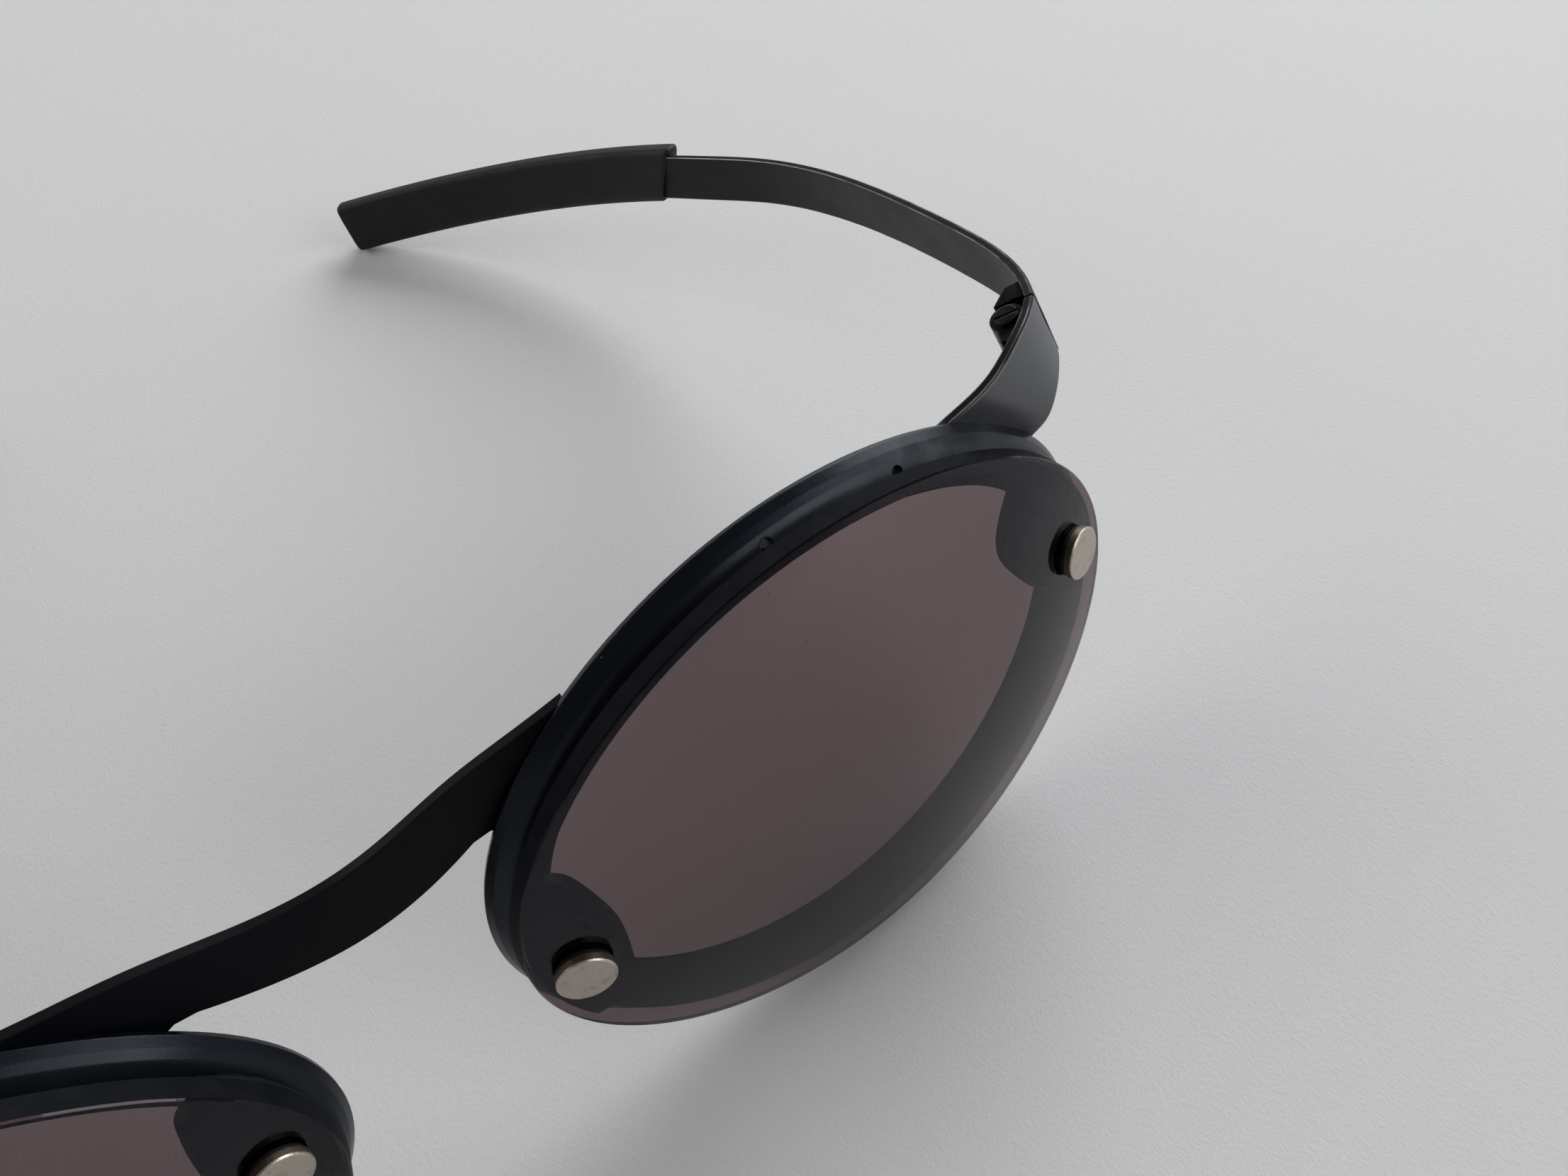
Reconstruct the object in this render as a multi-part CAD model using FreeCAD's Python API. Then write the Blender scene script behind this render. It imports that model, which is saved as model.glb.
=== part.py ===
import FreeCAD, Part
import math
import os

# Sunglasses: two oval lens plates screwed to ring shaped rims, a bowed bridge
# band, wrap-around end pieces and two hinged strip temples with soft tips.
# Millimetres. Built with the lens plane upright, x across the face with the
# wearer's left at +x, y towards the ears, then leaned back to the rest pose.

Vec = FreeCAD.Vector

# ---- lens plate
LENS_W = 64.6           # width of the oval
LENS_H = 49.2           # height of the oval
LENS_CORNER = 0.21      # flattens the oval's diagonals
LENS_EGG = 0.25         # moves the fullest part to the nose side
LENS_R = 98.0           # radius of the front face
LENS_T = 1.7            # plate thickness
LENS_BEVEL = 0.12       # polished bevel round the front edge
LENS_X = 41.4           # lens centre to the mid-plane
WRAP = 6.3              # degrees each lens turns towards the ear
LENS_ROLL = 4.3         # degrees the outer end of the oval rises

# ---- rim ring, sections given as (outwards from the lens edge, behind the lens front)
RIM_SEAT = -1.4         # front edge of the window
RIM_INNER = -3.0        # rear edge of the window, the wall slopes between the two
RIM_NECK = -0.7         # wall the lens edge overhangs
SEAT_GAP = 0.15         # between the lens and the ring; the ears touch the lens
RIM_NECK_TOP = 2.3      # where the neck begins, behind the open edge of the lens
RIM_NECK_D = 2.7        # where it turns into the flange
RIM_OUT = 2.2           # flange beyond the lens edge
RIM_D = 5.85            # rear face
RIDGE_R = 0.9           # ridge on the flange's front
RIDGE_D = 3.1
NECK_DRAFT = 0.1        # slope of the neck
SHOULDER_DROP = 0.35    # hollow of the flange between ridge and lip
RIM_LIP_D = 4.0         # where the flange is widest
RIM_LIP_T = 0.5         # straight edge of the lip
RIM_HEEL_D = 5.0        # behind the lip the ring draws in to its rear face
RIM_HEEL = 1.7
RIM_EDGE = 0.5          # rounding of the flange's rear
FLARE = 0.10            # share by which the flange widens at the upper outer corner
FLARE_AT = 45.0         # degrees round the oval from the outer end
VENT_D = 1.1            # vent holes through the flange
VENT_R = 0.05
VENT_AT = (63.2, 87.4)  # degrees round the oval

# ---- ears and the screws that hold the lens
STUD_V = 1.33           # height of both screws on the lens
STUD_NOSE_U = -28.07    # screw on the nose side
STUD_OUT_U = 27.61      # screw on the outer side
EAR_T = 1.5             # thickness of an ear
EAR_TRIM = -0.8         # ears end inside the ring, this far inside the lens edge
EAR_NOSE = (            # free edge of the ear, u, v from the top down
    (-29.5, 11.6), (-26.9, 11.0), (-25.6, 10.0), (-25.0, 8.6), (-24.6, 6.6), (-24.3, 4.2),
    (-24.2, 2.0), (-24.5, -0.5), (-25.1, -3.0), (-26.4, -5.2), (-29.5, -7.2),
)
EAR_OUT = (
    (27.5, 13.6), (24.2, 12.7), (22.5, 11.6), (21.2, 10.4), (20.4, 9.2), (20.1, 8.0),
    (20.3, 6.6), (21.0, 4.7), (22.2, 2.3), (23.6, -0.2), (25.3, -2.3), (28.5, -4.2),
)
HEAD_D = 5.0
HEAD_T = 0.75
HEAD_BEVEL = 0.12
COLLAR_D = 4.7
COLLAR_T = 0.45
SHANK_D = 1.6
HOLE_CLEAR = 0.1        # radial clearance of the screw in lens, collar, ear and washer
THREAD_CLEAR = 0.02     # radial clearance of a screw in its own thread
WASHER_D = 3.6
WASHER_T = 0.2
NUT_FLATS = 3.0
NUT_T = 1.0
SHANK_PROUD = 0.2       # screw end beyond its nut

# ---- bridge band
BAND_T = 0.9
BAND_PLAN = ((0.0, 9.0), (9.0, 8.0), (16.0, 6.6), (22.0, 6.3))       # x, y of the front face
BAND_TOP = ((0.0, 13.7), (5.0, 14.6), (9.0, 16.3), (13.0, 18.1), (17.0, 19.4), (22.0, 20.4))
BAND_LOW = ((0.0, 6.9), (5.0, 7.9), (8.5, 9.6), (11.0, 11.2))        # x, z of the lower edge
BAND_FOOT = ((12.5, 11.7), (15.5, 11.0), (20.5, 15.5))               # lower outline behind the rim
BAND_WINDOW = -2.6      # band ends this far inside the lens edge

# ---- end pieces and temples: stations of the outer face, (top corner), (lower corner),
# measured from the rim's rear lip at its upper outer corner
STRIP_T = 0.8
STRIP_BEVEL = 0.2
END_ROOT = ((-2.9, 0.0, -0.4), (7.8, 2.1, -8.4))      # laps behind the rim
END_STATIONS = (
    ((-1.3, -1.3, 1.5), (8.6, 0.6, -6.1)),
    ((2.3, -2.3, 3.9), (9.1, -0.6, -3.9)),
    ((5.6, -1.5, 5.7), (10.1, -0.4, -2.2)),
    ((8.1, -0.1, 6.4), (11.2, 0.5, -1.1)),
    ((9.8, 1.4, 6.8), (12.0, 1.4, -0.3)),
)
TEMPLE_STATIONS = (
    ((10.1, 1.75, 6.8), (12.3, 1.75, -0.2)),
    ((12.8, 7.6, 6.3), (14.6, 7.6, -0.2)),
    ((14.7, 19.1, 5.4), (16.2, 19.1, -0.7)),
    ((15.5, 32.1, 4.4), (16.7, 32.1, -1.5)),
    ((15.3, 45.1, 3.3), (16.2, 45.1, -2.5)),
    ((13.3, 56.1, 2.4), (14.0, 56.4, -3.4)),
    ((10.0, 65.1, 1.7), (10.4, 65.4, -4.1)),
    ((5.1, 76.4, 0.8), (5.4, 76.5, -4.9)),
    ((-0.7, 85.7, -0.1), (-0.6, 85.8, -5.6)),
)

# ---- soft tips
TIP_T = 3.0
TIP_H = 7.2
TIP_BEVEL = 0.9
TIP_END = 0.6           # chamfer round both ends
TIP_SLANT = 4.0         # the near end is cut back by this at its lower edge
TIP_STATIONS = (        # centre of the sleeve, from the same corner
    (8.5, 68.4, -2.0),
    (4.6, 76.4, -2.5),
    (-1.3, 85.7, -3.2),
    (-9.3, 95.7, -4.1),
    (-18.4, 104.1, -4.8),
    (-28.2, 111.7, -5.4),
)

# ---- hinges
AXIS_IN = 1.95          # hinge axis inside the strip's inner face
KNUCKLE_R = 1.55
KNUCKLE_GAP = 0.1
HINGE_H = 4.8
MID_H = 1.7             # height of the temple's knuckle
ARM_W = 2.2             # width of the arm behind a knuckle
ARM_LAP = 0.5           # arm's overlap with its foot
FOOT_START = 1.9        # foot begins this far from the axis
FOOT_L_FRONT = 3.6      # foot length on the end piece
FOOT_L_TEMPLE = 1.8
FOOT_IN = -0.8          # inner side of the foot, towards the head
FOOT_TAPER = 0.6        # the same at the foot's far end
SCREW_D = 1.3
SCREW_HEAD_D = 2.1
SCREW_HEAD_T = 0.4
SLOT_W = 0.35
SLOT_DEEP = 0.25
RUN_CLEAR = 0.05        # radial running clearance of the temple's knuckle

# ---- construction
ROUND_STEPS = 48        # points on a curve round the oval
PAST = 1.0              # how far a cutter runs past the face it cuts

# ---- rest pose on a flat surface
REST_TILT = 17.24       # degrees the front leans back when it stands on rims and tips


def unit(v):
    return v * (1.0 / v.Length)


def oval(angle, out):
    """Point of the lens outline, moved outwards; angle in radians from the outer end."""
    half_w = LENS_W / 2 - LENS_CORNER
    half_h = LENS_H / 2 - LENS_CORNER
    u = half_w * math.cos(angle) + LENS_EGG * math.cos(2 * angle) + LENS_CORNER * math.cos(3 * angle)
    v = half_h * math.sin(angle) - LENS_EGG * math.sin(2 * angle) - LENS_CORNER * math.sin(3 * angle)
    du = -half_w * math.sin(angle) - 2 * LENS_EGG * math.sin(2 * angle)
    du -= 3 * LENS_CORNER * math.sin(3 * angle)
    dv = half_h * math.cos(angle) - 2 * LENS_EGG * math.cos(2 * angle)
    dv -= 3 * LENS_CORNER * math.cos(3 * angle)
    size = math.hypot(du, dv)
    return u + out * dv / size, v - out * du / size


def on_lens(u, v, deep):
    """Point that lies deep under the lens front at u, v, in the lens's own frame."""
    n = lens_normal(u, v)
    return n * (LENS_R - deep) - Vec(0, 0, LENS_R)


def lens_normal(u, v):
    return Vec(u, v, math.sqrt(LENS_R ** 2 - u ** 2 - v ** 2)) * (1.0 / LENS_R)


def loop(out, deep):
    """Closed smooth curve round the oval."""
    points = []
    for i in range(ROUND_STEPS):
        angle = 2 * math.pi * i / ROUND_STEPS - math.pi / 2
        flare = 1.0
        if out > 0:
            flare += FLARE * math.cos(angle - math.radians(FLARE_AT))
        u, v = oval(angle, out * flare)
        points.append(on_lens(u, v, deep))
    curve = Part.BSplineCurve()
    curve.interpolate(Points=points, PeriodicFlag=True)
    return curve.toShape()


def closed_solid(faces):
    shell = Part.makeShell(faces)
    if not shell.isClosed():
        shell.sewShape()
    solid = Part.Solid(Part.Shell(shell.Faces))
    if solid.Volume < 0:
        solid.reverse()
    return solid


def ring(profile):
    """Solid ring with the given section, carried round the oval."""
    edges = [loop(out, deep) for out, deep in profile]
    faces = []
    for i in range(len(edges)):
        faces.append(Part.makeRuledSurface(edges[i - 1], edges[i]))
    return closed_solid(faces)


def swept(sections):
    """Solid through polygon sections that all have the same number of corners."""
    rails = []
    for corner in zip(*sections):
        curve = Part.BSplineCurve()
        curve.interpolate(Points=list(corner))
        rails.append(curve.toShape())
    faces = [Part.makeRuledSurface(rails[i - 1], rails[i]) for i in range(len(rails))]
    for end in (sections[0], sections[-1]):
        faces.append(Part.Face(Part.makePolygon(list(end) + [end[0]])))
    return closed_solid(faces)


def lens_place():
    turn = FreeCAD.Rotation(Vec(0, 0, 1), WRAP)
    stand = FreeCAD.Rotation(Vec(1, 0, 0), 90)
    roll = FreeCAD.Rotation(Vec(0, 0, 1), LENS_ROLL)
    return FreeCAD.Placement(Vec(LENS_X, 0, 0), turn * stand * roll)


def from_corner(point):
    """Turns an offset from the rim's upper outer corner into a place."""
    u, v = oval(math.radians(FLARE_AT), RIM_OUT * (1 + FLARE))
    return lens_place().multVec(on_lens(u, v, RIM_HEEL_D)) + Vec(*point)


def placed(shape, placement):
    moved = shape.copy()
    moved.Placement = placement.multiply(moved.Placement)
    return moved


def ball(radius):
    """Ball about the lens's centre of curvature, its seam turned away from the lens."""
    body = Part.makeSphere(radius)
    body.rotate(Vec(0, 0, 0), Vec(1, 0, 0), 90)
    body.rotate(Vec(0, 0, 0), Vec(0, 1, 0), 90)
    body.translate(Vec(0, 0, -LENS_R))
    return body


def oval_prism(out):
    """Straight prism over the outline moved outwards, through the whole lens."""
    points = []
    for i in range(ROUND_STEPS):
        u, v = oval(2 * math.pi * i / ROUND_STEPS, out)
        points.append(Vec(u, v, -LENS_W / 2))
    curve = Part.BSplineCurve()
    curve.interpolate(Points=points, PeriodicFlag=True)
    return Part.Face(Part.Wire(curve.toShape())).extrude(Vec(0, 0, LENS_W))


def largest(shape):
    return max(shape.Solids, key=lambda s: s.Volume)


def stud_sites():
    return ((STUD_NOSE_U, EAR_NOSE), (STUD_OUT_U, EAR_OUT))


def stud_place(u):
    """Placement whose z axis leaves the lens front at a screw."""
    return FreeCAD.Placement(
        on_lens(u, STUD_V, 0.0), FreeCAD.Rotation(Vec(0, 0, 1), lens_normal(u, STUD_V))
    )


def cylinder(radius, low, high):
    return Part.makeCylinder(radius, high - low, Vec(0, 0, low))


def lens():
    plate = ball(LENS_R).cut(ball(LENS_R - LENS_T)).common(oval_prism(0.0))
    plate = plate.Solids[0]
    rims = [e for e in plate.Edges if e.Length > LENS_W]
    front = max(rims, key=lambda e: e.CenterOfMass.z)
    plate = plate.makeChamfer(LENS_BEVEL, [front])
    for u, _ in stud_sites():
        hole = cylinder(SHANK_D / 2 + HOLE_CLEAR, -2 * LENS_T, LENS_T)
        plate = plate.cut(placed(hole, stud_place(u)))
    return plate


def ear(u, free_edge):
    """Rounded lug behind the lens, flat at the back, round one screw."""
    low = -(LENS_T + EAR_T)
    points = [Vec(a - u, b - STUD_V, low) for a, b in free_edge]
    past = Vec(math.copysign(LENS_W / 4, u), 0, 0)
    outside = Part.makePolygon([points[-1], points[-1] + past, points[0] + past, points[0]])
    outline = Part.Wire(Part.__sortEdges__([spline(points)] + outside.Edges))
    lug = Part.Face(outline).extrude(Vec(0, 0, LENS_T + EAR_T))
    return placed(lug, stud_place(u)).common(ball(LENS_R - LENS_T)).common(oval_prism(EAR_TRIM))


def rim():
    profile = (
        (RIM_SEAT, LENS_T + SEAT_GAP),
        (RIM_NECK, RIM_NECK_TOP),
        (RIM_NECK + NECK_DRAFT, RIM_NECK_D),
        (RIDGE_R, RIDGE_D),
        ((RIDGE_R + RIM_OUT) / 2, RIDGE_D + SHOULDER_DROP),
        (RIM_OUT, RIM_LIP_D),
        (RIM_OUT, RIM_LIP_D + RIM_LIP_T),
        (RIM_HEEL, RIM_HEEL_D),
        (RIM_INNER + RIM_EDGE, RIM_D),
        (RIM_INNER, RIM_D - RIM_EDGE),
    )
    body = ring(profile)
    for u, shape in stud_sites():
        body = body.fuse(ear(u, shape))
    for u, _ in stud_sites():
        hole = cylinder(SHANK_D / 2 + HOLE_CLEAR, -3 * LENS_T, 0)
        pocket = cylinder(WASHER_D / 2 + 2 * HOLE_CLEAR, -3 * RIM_D, -(LENS_T + EAR_T))
        body = body.cut(placed(hole, stud_place(u))).cut(placed(pocket, stud_place(u)))
    for at in VENT_AT:
        u, v = oval(math.radians(at), VENT_R)
        front = on_lens(u, v, LENS_T)
        body = body.cut(Part.makeCylinder(VENT_D / 2, RIM_D, front, lens_normal(u, v) * -1))
    return body


def stud():
    head = cylinder(HEAD_D / 2, COLLAR_T, COLLAR_T + HEAD_T)
    top = [e for e in head.Edges if abs(e.CenterOfMass.z - COLLAR_T - HEAD_T) < 0.01 and e.Closed]
    head = head.makeChamfer(HEAD_BEVEL, top)
    low = -(LENS_T + EAR_T + WASHER_T + NUT_T + SHANK_PROUD)
    return head.fuse(cylinder(SHANK_D / 2, low, COLLAR_T)).removeSplitter()


def collar():
    body = cylinder(COLLAR_D / 2, 0, COLLAR_T)
    return body.cut(cylinder(SHANK_D / 2 + HOLE_CLEAR, -PAST, COLLAR_T + PAST))


def washer():
    high = -(LENS_T + EAR_T)
    body = cylinder(WASHER_D / 2, high - WASHER_T, high)
    return body.cut(cylinder(SHANK_D / 2 + HOLE_CLEAR, high - WASHER_T - PAST, high + PAST))


def nut():
    high = -(LENS_T + EAR_T + WASHER_T)
    radius = NUT_FLATS / 2 / math.cos(math.radians(30))
    corners = []
    for i in range(7):
        a = math.radians(60 * i)
        corners.append(Vec(radius * math.cos(a), radius * math.sin(a), high - NUT_T))
    body = Part.Face(Part.makePolygon(corners)).extrude(Vec(0, 0, NUT_T))
    return body.cut(cylinder(SHANK_D / 2 + THREAD_CLEAR, high - NUT_T - PAST, high + PAST))


def at_studs(shape):
    """The same fastener at both screws of the left lens."""
    return [placed(placed(shape, stud_place(u)), lens_place()) for u, _ in stud_sites()]


def mirrored(points):
    """Curve points given for x >= 0, made symmetric about the mid-plane."""
    return [(-x, y) for x, y in reversed(points[1:])] + list(points)


def spline(points):
    curve = Part.BSplineCurve()
    curve.interpolate(Points=points)
    return curve.toShape()


def bridge_band(rims):
    top = [Vec(x, 0, z) for x, z in mirrored(BAND_TOP)]
    low = [Vec(x, 0, z) for x, z in mirrored(BAND_LOW)]
    right_foot = [low[-1]] + [Vec(x, 0, z) for x, z in BAND_FOOT] + [top[-1]]
    left_foot = [Vec(-p.x, 0, p.z) for p in right_foot]
    edges = [spline(top), spline(low)]
    for foot in (left_foot, right_foot):
        edges += Part.makePolygon(foot).Edges
    outline = Part.Wire(Part.__sortEdges__(edges))
    front_view = Part.Face(outline).extrude(Vec(0, LENS_H, 0))
    near = [Vec(x, y, 0) for x, y in mirrored(BAND_PLAN)]
    far = [p + Vec(0, BAND_T, 0) for p in near]
    sides = [Part.makeLine(near[0], far[0]), Part.makeLine(near[-1], far[-1])]
    plan = Part.Wire(Part.__sortEdges__([spline(near), spline(far)] + sides))
    band = Part.Face(plan).extrude(Vec(0, 0, LENS_H)).common(front_view)
    window = placed(oval_prism(BAND_WINDOW), lens_place())
    for cutter in (window, window.mirror(Vec(0, 0, 0), Vec(1, 0, 0))):
        band = band.cut(cutter)
    for r in rims:
        band = band.cut(r)
    return band


def middle(station):
    top, low = station
    return (from_corner(top) + from_corner(low)) * 0.5


def strip_sections(stations, before=None, after=None):
    """Bevelled flat section at each station; before and after only steer the end sections."""
    tops = [from_corner(top) for top, _ in stations]
    lows = [from_corner(low) for _, low in stations]
    path = [middle(before or stations[0])]
    path += [middle(station) for station in stations]
    path.append(middle(after or stations[-1]))
    sections = []
    for i in range(len(tops)):
        up = unit(tops[i] - lows[i])
        normal = unit((path[i + 2] - path[i]).cross(up))
        sections.append([
            tops[i] - up * STRIP_BEVEL,
            tops[i] - normal * STRIP_BEVEL,
            tops[i] - normal * STRIP_T,
            lows[i] - normal * STRIP_T,
            lows[i] - normal * STRIP_BEVEL,
            lows[i] + up * STRIP_BEVEL,
        ])
    return sections


def end_piece(rim_shape):
    sections = strip_sections((END_ROOT,) + END_STATIONS, after=TEMPLE_STATIONS[1])
    return largest(swept(sections).cut(rim_shape))


def temple():
    return swept(strip_sections(TEMPLE_STATIONS, before=END_STATIONS[-2]))


def temple_tip(strip):
    """Sleeve with bevelled long edges and tapered ends, slotted for the strip."""
    centres = [from_corner(centre) for centre in TIP_STATIONS]
    sections = []
    for i, centre in enumerate(centres):
        along = centres[min(i + 1, len(centres) - 1)] - centres[max(i - 1, 0)]
        sections.append(tip_section(centre, along, 0.0, TIP_SLANT if i == 0 else 0.0))
    body = swept(sections)
    for end, inner in ((0, 1), (-1, -2)):
        along = centres[end] - centres[inner]
        if end == 0:
            along = along * -1
        tip = centres[end] + unit(centres[end] - centres[inner]) * TIP_END
        wires = []
        for points in (sections[end], tip_section(tip, along, TIP_END, TIP_SLANT if end == 0 else 0.0)):
            wires.append(Part.makePolygon(points + points[:1]))
        body = body.fuse(Part.makeLoft(wires, True, True))
    return body.cut(strip)


def tip_section(centre, along, inset, slant):
    """Bevelled rectangle across the sleeve, drawn in by inset, its lower edge moved on by slant."""
    side = unit(along.cross(Vec(0, 0, 1)))
    up = unit(side.cross(along)) - unit(along) * (slant / TIP_H)
    centre = centre + unit(along) * (slant / 2)
    half_t = TIP_T / 2 - inset
    half_h = TIP_H / 2 - inset
    bevel = TIP_BEVEL - inset / 2
    corners = (
        (half_t - bevel, half_h), (half_t, half_h - bevel),
        (half_t, bevel - half_h), (half_t - bevel, -half_h),
        (bevel - half_t, -half_h), (-half_t, bevel - half_h),
        (-half_t, half_h - bevel), (bevel - half_t, half_h),
    )
    return [centre + side * a + up * b for a, b in corners]


def hinge_frame():
    """Frame on the hinge axis: z up the axis, x away from the head, y along the temple."""
    top, low = END_STATIONS[-1]
    up = unit(Vec(*top) - Vec(*low))
    outward = unit((middle(TEMPLE_STATIONS[1]) - middle(END_STATIONS[-2])).cross(up))
    centre = (middle(END_STATIONS[-1]) + middle(TEMPLE_STATIONS[0])) * 0.5
    origin = centre - outward * (STRIP_T + AXIS_IN)
    return FreeCAD.Placement(origin, FreeCAD.Rotation(outward, up.cross(outward), up, "ZXY"))


def box(x, y, z):
    """Box between pairs of limits."""
    return Part.makeBox(x[1] - x[0], y[1] - y[0], z[1] - z[0], Vec(x[0], y[0], z[0]))


def hinge_plate(side):
    """Tapered foot against a strip's inner face; side is -1 on the front, 1 on the temple."""
    near = side * FOOT_START
    length = FOOT_L_FRONT if side < 0 else FOOT_L_TEMPLE
    far = side * (FOOT_START + length)
    plan = ((FOOT_IN, near), (AXIS_IN - FOOT_IN, near), (AXIS_IN - FOOT_IN, far), (FOOT_TAPER, far))
    points = [Vec(x, y, -HINGE_H / 2) for x, y in plan]
    return Part.Face(Part.makePolygon(points + points[:1])).extrude(Vec(0, 0, HINGE_H))


def knuckle(low, high, side):
    """Round barrel on the axis with the arm that carries it."""
    reach = sorted((0.0, side * (FOOT_START + ARM_LAP)))
    arm = box((-ARM_W / 2, ARM_W / 2), reach, (low, high))
    return cylinder(KNUCKLE_R, low, high).fuse(arm)


def hinge_half(side, levels, bore, strip):
    body = hinge_plate(side)
    for low, high in levels:
        body = body.fuse(knuckle(low, high, side))
    body = body.cut(cylinder(bore, -HINGE_H, HINGE_H))
    frame = hinge_frame()
    axis = Part.Vertex(frame.Base)
    pieces = placed(body, frame).cut(strip).Solids
    return min(pieces, key=lambda piece: piece.distToShape(axis)[0])


def hinge_block(strip):
    inner = MID_H / 2 + KNUCKLE_GAP
    levels = ((-HINGE_H / 2, -inner), (inner, HINGE_H / 2))
    return hinge_half(-1, levels, SCREW_D / 2 + THREAD_CLEAR, strip)


def temple_knuckle(strip):
    levels = ((-MID_H / 2, MID_H / 2),)
    return hinge_half(1, levels, SCREW_D / 2 + RUN_CLEAR, strip)


def hinge_screw():
    top = HINGE_H / 2
    shank = cylinder(SCREW_D / 2, -top, top)
    head = cylinder(SCREW_HEAD_D / 2, top, top + SCREW_HEAD_T)
    slot_z = (top + SCREW_HEAD_T - SLOT_DEEP, top + SCREW_HEAD_T + PAST)
    slot = box((-SCREW_HEAD_D, SCREW_HEAD_D), (-SLOT_W / 2, SLOT_W / 2), slot_z)
    return placed(shank.fuse(head).cut(slot), hinge_frame())


def mirror(shape):
    return shape.mirror(Vec(0, 0, 0), Vec(1, 0, 0))


def build():
    """Every node's shape, with the lens plane upright."""
    lens_left = placed(lens(), lens_place())
    rim_left = placed(rim(), lens_place())
    end_left = end_piece(rim_left)
    temple_left = temple()
    left = {
        "lens": lens_left,
        "rim": rim_left,
        "end_piece": end_left,
        "hinge_block": hinge_block(end_left),
        "temple": temple_left,
        "temple_knuckle": temple_knuckle(temple_left),
        "temple_tip": temple_tip(temple_left),
    }
    nodes = {}
    for name, shape in left.items():
        nodes[name + "_left"] = shape
        nodes[name + "_right"] = mirror(shape)
    nodes["bridge_band"] = bridge_band((nodes["rim_left"], nodes["rim_right"]))
    groups = {
        "lens_studs": at_studs(stud()),
        "stud_collars": at_studs(collar()),
        "stud_washers": at_studs(washer()),
        "stud_nuts": at_studs(nut()),
        "hinge_screws": [hinge_screw()],
    }
    for name, shapes in groups.items():
        nodes[name] = Part.makeCompound(shapes + [mirror(s) for s in shapes])
    return nodes


def rest_place(nodes):
    """Leans the sunglasses back and centres them on the surface they stand on."""
    lean = FreeCAD.Placement(Vec(0, 0, 0), FreeCAD.Rotation(Vec(1, 0, 0), -REST_TILT))
    everything = placed(Part.makeCompound(list(nodes.values())), lean)
    bounds = everything.optimalBoundingBox(False, False)
    shift = Vec(0, -(bounds.YMin + bounds.YMax) / 2, -bounds.ZMin)
    return FreeCAD.Placement(shift, lean.Rotation)


def main():
    nodes = build()
    rest = rest_place(nodes)
    os.makedirs("parts", exist_ok=True)
    for name, shape in nodes.items():
        placed(shape, rest).exportStep("parts/" + name + ".step")


main()
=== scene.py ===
import math

import bpy
import numpy as np
from mathutils import Matrix, Vector


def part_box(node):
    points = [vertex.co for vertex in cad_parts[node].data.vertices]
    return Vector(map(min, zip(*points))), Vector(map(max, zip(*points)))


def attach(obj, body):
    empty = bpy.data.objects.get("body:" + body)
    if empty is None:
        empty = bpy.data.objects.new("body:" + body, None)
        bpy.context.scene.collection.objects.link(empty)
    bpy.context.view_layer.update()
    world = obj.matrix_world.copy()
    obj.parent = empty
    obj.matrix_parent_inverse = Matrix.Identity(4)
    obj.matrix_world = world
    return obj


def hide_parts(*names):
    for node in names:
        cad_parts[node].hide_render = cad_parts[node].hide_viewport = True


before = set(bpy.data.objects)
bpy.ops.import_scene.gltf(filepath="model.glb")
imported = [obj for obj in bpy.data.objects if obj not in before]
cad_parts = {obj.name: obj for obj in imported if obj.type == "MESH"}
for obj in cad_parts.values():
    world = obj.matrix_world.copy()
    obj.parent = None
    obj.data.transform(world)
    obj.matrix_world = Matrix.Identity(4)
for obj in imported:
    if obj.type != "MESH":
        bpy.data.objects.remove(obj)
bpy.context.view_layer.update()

bl_info = {
    "name": "Screwed lens sunglasses",
    "version": (1, 0, 0),
    "blender": (4, 5, 0),
    "location": "3D View > Sidebar > Sunglasses",
    "description": "Finishes, soft tips and studio for the sunglasses",
    "category": "Object",
}

MM = 0.001
SIDES = ("left", "right")
LENS_AXIS = (0.1097, -0.9493, 0.2946)       # out of the front of the left lens
UPRIGHT = (0.0, 0.2964, 0.9551)             # up along the leaning front

# The soft tip's curve: its start, the point that pulls it and its end, as shares of the CAD tip's box.
TIP_CURVE = ((0.971, 0.027, 0.859), (0.687, 0.582, 0.447), (0.023, 0.956, 0.150))
TIP_SQUARENESS = 4.5                        # power of the superellipse: 2 is an ellipse
EDGE_ROWS = 6                               # rows round the edge of a tip's end

# Where the grey film of dust and painted sheen on a rim starts and where it is full, as shares of the
# rim's box.
DUST_AND_SHEEN_ACROSS = (0.520, 0.794)
DUST_AND_SHEEN_UP = (0.732, 0.966)

# Cosines between a rounded and a true normal where an edge starts and where it is full.
EDGE_START, EDGE_FULL = 0.995, 0.86

# Lamps: name, place, share of the window light's power, width and height, colour.
LAMPS = (
    ("window", (1.05, 0.62, 0.70), 1.11, (1.2, 0.9), (0.96, 0.98, 1.0)),
    ("far_window", (-0.90, 0.75, 0.75), 0.36, (1.1, 0.9), (1.0, 0.985, 0.95)),
    ("side_wall", (0.90, -0.95, 0.75), 0.40, (1.0, 0.8), (1.0, 1.0, 1.0)),
)
SKY = (0.96, 0.98, 1.0)

PAPER_RINGS = (0.02, 0.3, 0.8)              # radii of the rings inside the paper's flat part
PAPER_WALL = 2.2                            # top of the paper's wall over the radius of its bend

CAMERA_PLACE = (0.0193720, -0.0901036, 0.1197521)
CAMERA_RIGHT = (0.8345378, -0.5466110, -0.0690152)      # towards the right of its view
CAMERA_UP = (0.4986922, 0.6961809, 0.5163702)           # towards the top of its view
FOCAL_LENGTH = 27.03                        # millimetres, as is the sensor's width
SENSOR_WIDTH = 36
NEAREST = 0.005                             # closest distance that the camera sees


# ---------------------------------------------------------------- sizes and colours

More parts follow.
